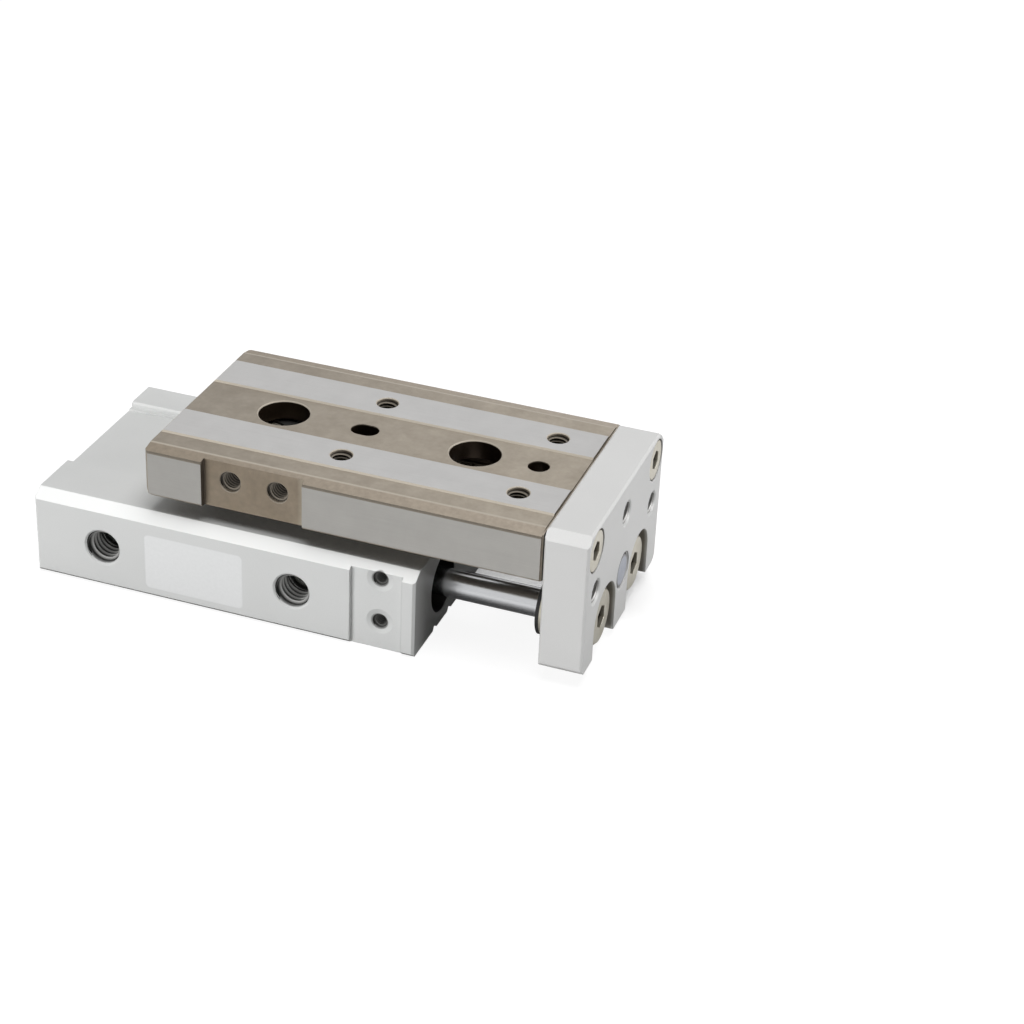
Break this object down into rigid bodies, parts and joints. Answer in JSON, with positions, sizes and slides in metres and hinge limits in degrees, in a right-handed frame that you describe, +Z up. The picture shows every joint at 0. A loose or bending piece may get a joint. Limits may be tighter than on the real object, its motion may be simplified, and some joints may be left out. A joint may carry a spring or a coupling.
{
  "type": "pneumatic slide table",
  "caption": "Compact twin-rod pneumatic slide table with a ball-guided banded table, end plate, side air ports and tapped mounting holes.",
  "frame": {"origin": "centre of the box around the whole slide as it stands, at the height of the mounting face", "axes": "+X along the stroke towards the end plate, +Z up from the mounting face to the table, air ports on the -Y side"},
  "size_m": [0.079, 0.036, 0.0228],
  "materials": {
    "body_alloy": "fine blasted, clear hard anodised",
    "plate_alloy": "clear anodised",
    "cap_alloy": "turned",
    "table_steel": "heat-treated stainless, mounting bands ground bright",
    "guide_steel": "hardened and ground",
    "plug_steel": "turned",
    "spring_steel": "phosphated",
    "chrome_steel": "polished",
    "chrome_rod": "hard chrome plated",
    "nickel_screw": "nickel plated",
    "magnet": "plain",
    "nitrile": "matte",
    "resin": "moulded"
  },
  "bodies": {
    "base": {"body": "body_alloy", "head_caps": "cap_alloy", "head_orings": "nitrile", "rod_covers": "resin", "cover_orings": "nitrile", "rod_seals": "nitrile", "retaining_rings": "spring_steel", "guide_block": "guide_steel", "return_caps": "resin", "scrapers": "nitrile", "balls": "chrome_steel", "guide_screws": "nickel_screw"},
    "carriage": {"table": "table_steel", "end_plate": "plate_alloy", "plate_screws": "nickel_screw", "stop_plug": "plug_steel", "stop_pad": "nitrile", "bushes": "nickel_screw", "bush_washers": "nitrile", "bush_screws": "nickel_screw", "rods": "chrome_rod", "pistons": "cap_alloy", "piston_collars": "cap_alloy", "magnets": "magnet", "piston_seals": "nitrile", "piston_bumpers": "nitrile"}
  },
  "joints": [
    {"name": "table_slide", "type": "slide", "parent": "base", "child": "carriage", "axis": [1, 0, 0], "range_m": [-0.0164, 0.0036]}
  ]
}
